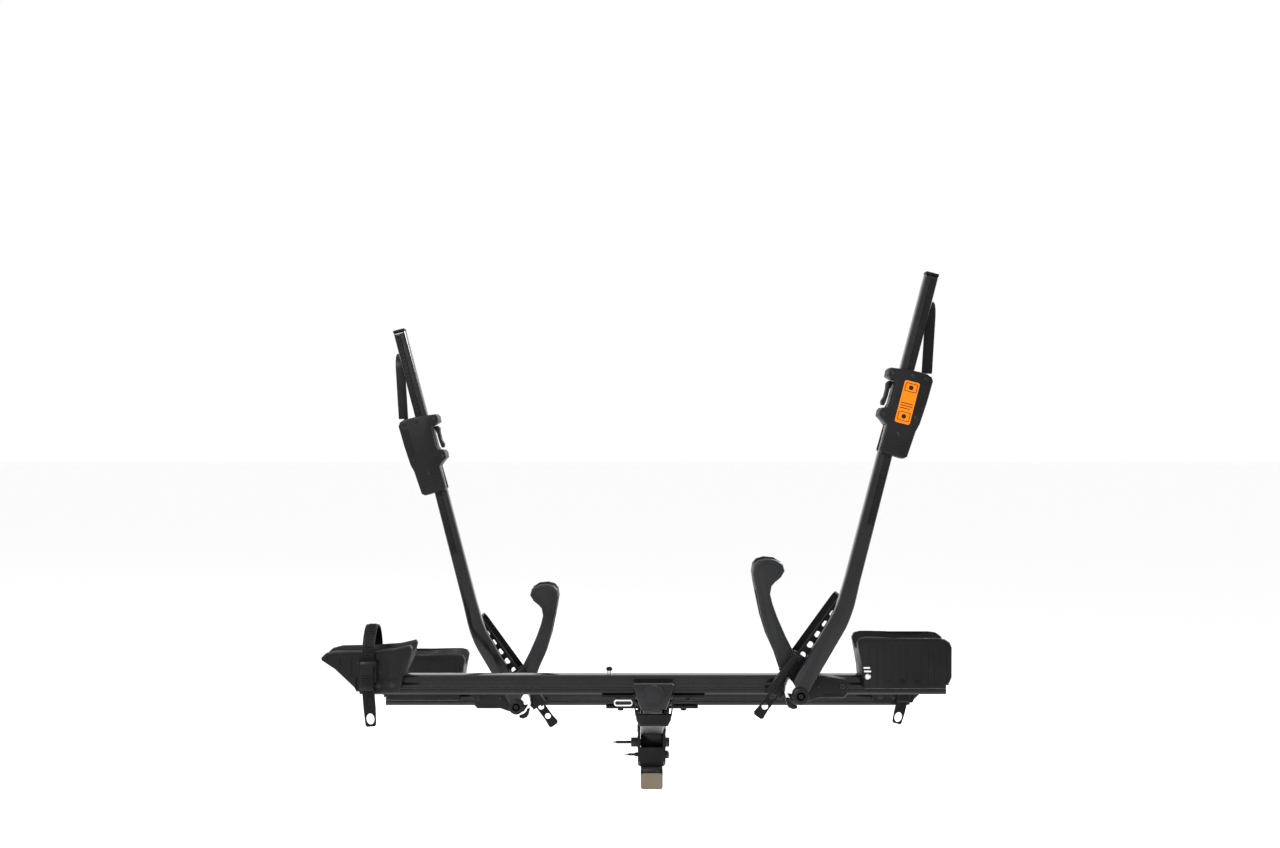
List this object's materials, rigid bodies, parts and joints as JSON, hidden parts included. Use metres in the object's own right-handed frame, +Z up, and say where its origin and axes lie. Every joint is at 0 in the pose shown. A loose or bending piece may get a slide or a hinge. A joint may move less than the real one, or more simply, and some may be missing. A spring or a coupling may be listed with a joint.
{
  "type": "hitch mounted bike rack",
  "caption": "Tilting hitch rack with level wheel trays, each with a sliding rear cradle, front trough, folding hoop and folding hook arm.",
  "frame": {"origin": "on the bottom face of the hitch tube, centred across it and under its pin hole", "axes": "+X along the trays, to the side of the outer tray's arm; +Y towards the vehicle, the way the hitch tube slides in; +Z up"},
  "size_m": [1.311, 0.831, 1.1391],
  "materials": {
    "black_alloy": "black anodised, satin to glossy",
    "black_steel": "black powder coat",
    "black_plastic": "moulded, fine grain",
    "grey_plastic": "dark grey moulded, satin",
    "strap": "flexible moulded strap, satin",
    "pad_rubber": "matt rubber",
    "silver_alloy": "bare, satin",
    "zinc_steel": "black oxide",
    "plug_plastic": "beige, matt"
  },
  "bodies": {
    "hitch": {"hitch_frame": "black_steel", "stinger_plug": "plug_plastic", "pivot_bolt": "zinc_steel", "lock_pin": "zinc_steel"},
    "spine": {"spine": "black_steel", "end_casting": "black_alloy", "end_shield": "black_plastic", "safety_loop": "silver_alloy", "outer_tray_bracket": "black_steel", "inner_tray_bracket": "black_steel", "rest_button": "pad_rubber", "outer_beam": "black_alloy", "outer_beam_plug": "black_plastic", "outer_front_tray": "black_plastic", "outer_arm_bracket": "black_plastic", "outer_arm_axle": "black_plastic", "outer_front_strap": "strap", "outer_front_buckle": "black_plastic", "inner_beam": "black_alloy", "inner_beam_plug": "black_plastic", "inner_front_tray": "black_plastic", "inner_arm_bracket": "black_plastic", "inner_arm_axle": "black_plastic", "inner_front_strap": "strap", "inner_front_buckle": "black_plastic"},
    "tilt_lever": {"tilt_lever": "black_plastic"},
    "outer_cradle": {"outer_rear_cradle": "black_plastic", "outer_rear_strap": "strap", "outer_rear_buckle": "black_plastic"},
    "outer_rear_lever": {"outer_rear_buckle_lever": "black_plastic"},
    "outer_hoop": {"outer_hoop": "grey_plastic"},
    "outer_arm": {"outer_arm_tube": "black_alloy", "outer_arm_rack": "black_plastic", "outer_arm_cap": "black_plastic", "outer_arm_latch": "silver_alloy"},
    "outer_latch_tab": {"outer_latch_tab": "black_plastic"},
    "outer_slider": {"outer_slider_body": "black_plastic", "outer_hook_band": "black_steel", "outer_hook_pad": "pad_rubber"},
    "outer_trigger": {"outer_slider_trigger": "black_plastic"},
    "outer_front_lever": {"outer_front_buckle_lever": "black_plastic"},
    "inner_cradle": {"inner_rear_cradle": "black_plastic", "inner_rear_strap": "strap", "inner_rear_buckle": "black_plastic"},
    "inner_rear_lever": {"inner_rear_buckle_lever": "black_plastic"},
    "inner_hoop": {"inner_hoop": "grey_plastic"},
    "inner_arm": {"inner_arm_tube": "black_alloy", "inner_arm_rack": "black_plastic", "inner_arm_cap": "black_plastic", "inner_arm_latch": "silver_alloy"},
    "inner_latch_tab": {"inner_latch_tab": "black_plastic"},
    "inner_slider": {"inner_slider_body": "black_plastic", "inner_hook_band": "black_steel", "inner_hook_pad": "pad_rubber"},
    "inner_trigger": {"inner_slider_trigger": "black_plastic"},
    "inner_front_lever": {"inner_front_buckle_lever": "black_plastic"}
  },
  "joints": [
    {"name": "spine_tilt", "type": "hinge", "parent": "hitch", "child": "spine", "pos_m": [0, -0.17, 0.096], "axis": [1, 0, 0], "range_deg": [-90, 30]},
    {"name": "tilt_lever_pull", "type": "hinge", "parent": "spine", "child": "tilt_lever", "pos_m": [0, -0.6945, 0.298], "axis": [1, 0, 0], "range_deg": [-35, 0], "stiffness_Nm_per_rad": 1, "springref_deg": 11.46},
    {"name": "outer_cradle_slide", "type": "slide", "parent": "spine", "child": "outer_cradle", "axis": [1, 0, 0], "range_m": [0, 0.25]},
    {"name": "outer_rear_buckle_open", "type": "hinge", "parent": "outer_cradle", "child": "outer_rear_lever", "pos_m": [-0.566, -0.7115, 0.367], "axis": [1, 0, 0], "range_deg": [-70, 0]},
    {"name": "outer_hoop_fold", "type": "hinge", "parent": "spine", "child": "outer_hoop", "pos_m": [0.284, -0.645, 0.321], "axis": [0, 1, 0], "range_deg": [-58, 0]},
    {"name": "outer_arm_fold", "type": "hinge", "parent": "spine", "child": "outer_arm", "pos_m": [0.288, -0.645, 0.306], "axis": [0, 1, 0], "range_deg": [-95, 0]},
    {"name": "outer_latch_press", "type": "hinge", "parent": "outer_arm", "child": "outer_latch_tab", "pos_m": [0.2625, -0.715, 0.2985], "axis": [0, 1, 0], "range_deg": [0, 20], "stiffness_Nm_per_rad": 0.3, "springref_deg": -11.46},
    {"name": "outer_slider_slide", "type": "slide", "parent": "outer_arm", "child": "outer_slider", "axis": [0.2515, 0, 0.9679], "range_m": [-0.28, 0.19]},
    {"name": "outer_trigger_squeeze", "type": "hinge", "parent": "outer_slider", "child": "outer_trigger", "pos_m": [0.46576, -0.715, 0.92058], "axis": [0, 1, 0], "range_deg": [-6, 0], "stiffness_Nm_per_rad": 0.5, "springref_deg": 5.73},
    {"name": "outer_front_buckle_open", "type": "hinge", "parent": "spine", "child": "outer_front_lever", "pos_m": [0.29183, -0.6955, 0.37414], "axis": [0.808, 0, -0.5892], "range_deg": [-60, 0]},
    {"name": "inner_cradle_slide", "type": "slide", "parent": "spine", "child": "inner_cradle", "axis": [-1, 0, 0], "range_m": [0, 0.25]},
    {"name": "inner_rear_buckle_open", "type": "hinge", "parent": "inner_cradle", "child": "inner_rear_lever", "pos_m": [0.555, -0.3555, 0.278], "axis": [1, 0, 0], "range_deg": [-70, 0]},
    {"name": "inner_hoop_fold", "type": "hinge", "parent": "spine", "child": "inner_hoop", "pos_m": [-0.295, -0.289, 0.232], "axis": [0, -1, 0], "range_deg": [-58, 0]},
    {"name": "inner_arm_fold", "type": "hinge", "parent": "spine", "child": "inner_arm", "pos_m": [-0.299, -0.289, 0.217], "axis": [0, -1, 0], "range_deg": [-95, 0]},
    {"name": "inner_latch_press", "type": "hinge", "parent": "inner_arm", "child": "inner_latch_tab", "pos_m": [-0.2735, -0.359, 0.2095], "axis": [0, -1, 0], "range_deg": [0, 20], "stiffness_Nm_per_rad": 0.3, "springref_deg": -11.46},
    {"name": "inner_slider_slide", "type": "slide", "parent": "inner_arm", "child": "inner_slider", "axis": [-0.2515, 0, 0.9679], "range_m": [-0.28, 0.19]},
    {"name": "inner_trigger_squeeze", "type": "hinge", "parent": "inner_slider", "child": "inner_trigger", "pos_m": [-0.47676, -0.359, 0.83158], "axis": [0, -1, 0], "range_deg": [-6, 0], "stiffness_Nm_per_rad": 0.5, "springref_deg": 5.73},
    {"name": "inner_front_buckle_open", "type": "hinge", "parent": "spine", "child": "inner_front_lever", "pos_m": [-0.30283, -0.3395, 0.28514], "axis": [0.808, 0, 0.5892], "range_deg": [-60, 0]}
  ]
}
